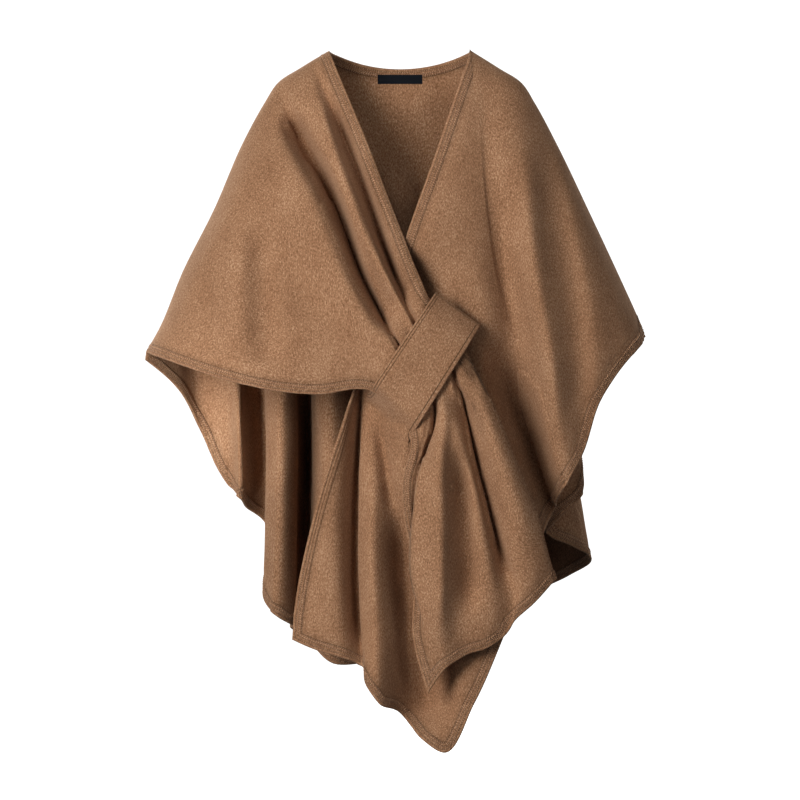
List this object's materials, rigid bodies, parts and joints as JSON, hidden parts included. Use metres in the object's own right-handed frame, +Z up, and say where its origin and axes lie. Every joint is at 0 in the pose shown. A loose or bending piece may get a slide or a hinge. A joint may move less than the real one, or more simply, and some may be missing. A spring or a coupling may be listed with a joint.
{
  "type": "wool cape",
  "caption": "Open wool cape hanging hollow as if worn: one front gathers through a strap on the other front and fans out below, over a wide folded back.",
  "frame": {"origin": "where the wearer holds the cape: midway between the two side ends of the neckline, level with them, in the plane of the shoulder seams", "axes": "+X towards the wearer's left side, +Y to the back of the wearer, +Z up; the cape's front faces -Y"},
  "size_m": [0.701, 0.2863, 0.9831],
  "materials": {
    "wool": "matt boiled wool in heathered camel brown, with a short nap",
    "label": "matt black woven tape, bare"
  },
  "bodies": {
    "root": {"back": "wool", "right_front": "wool", "left_front": "wool", "strap": "wool", "label": "label"}
  },
  "joints": []
}
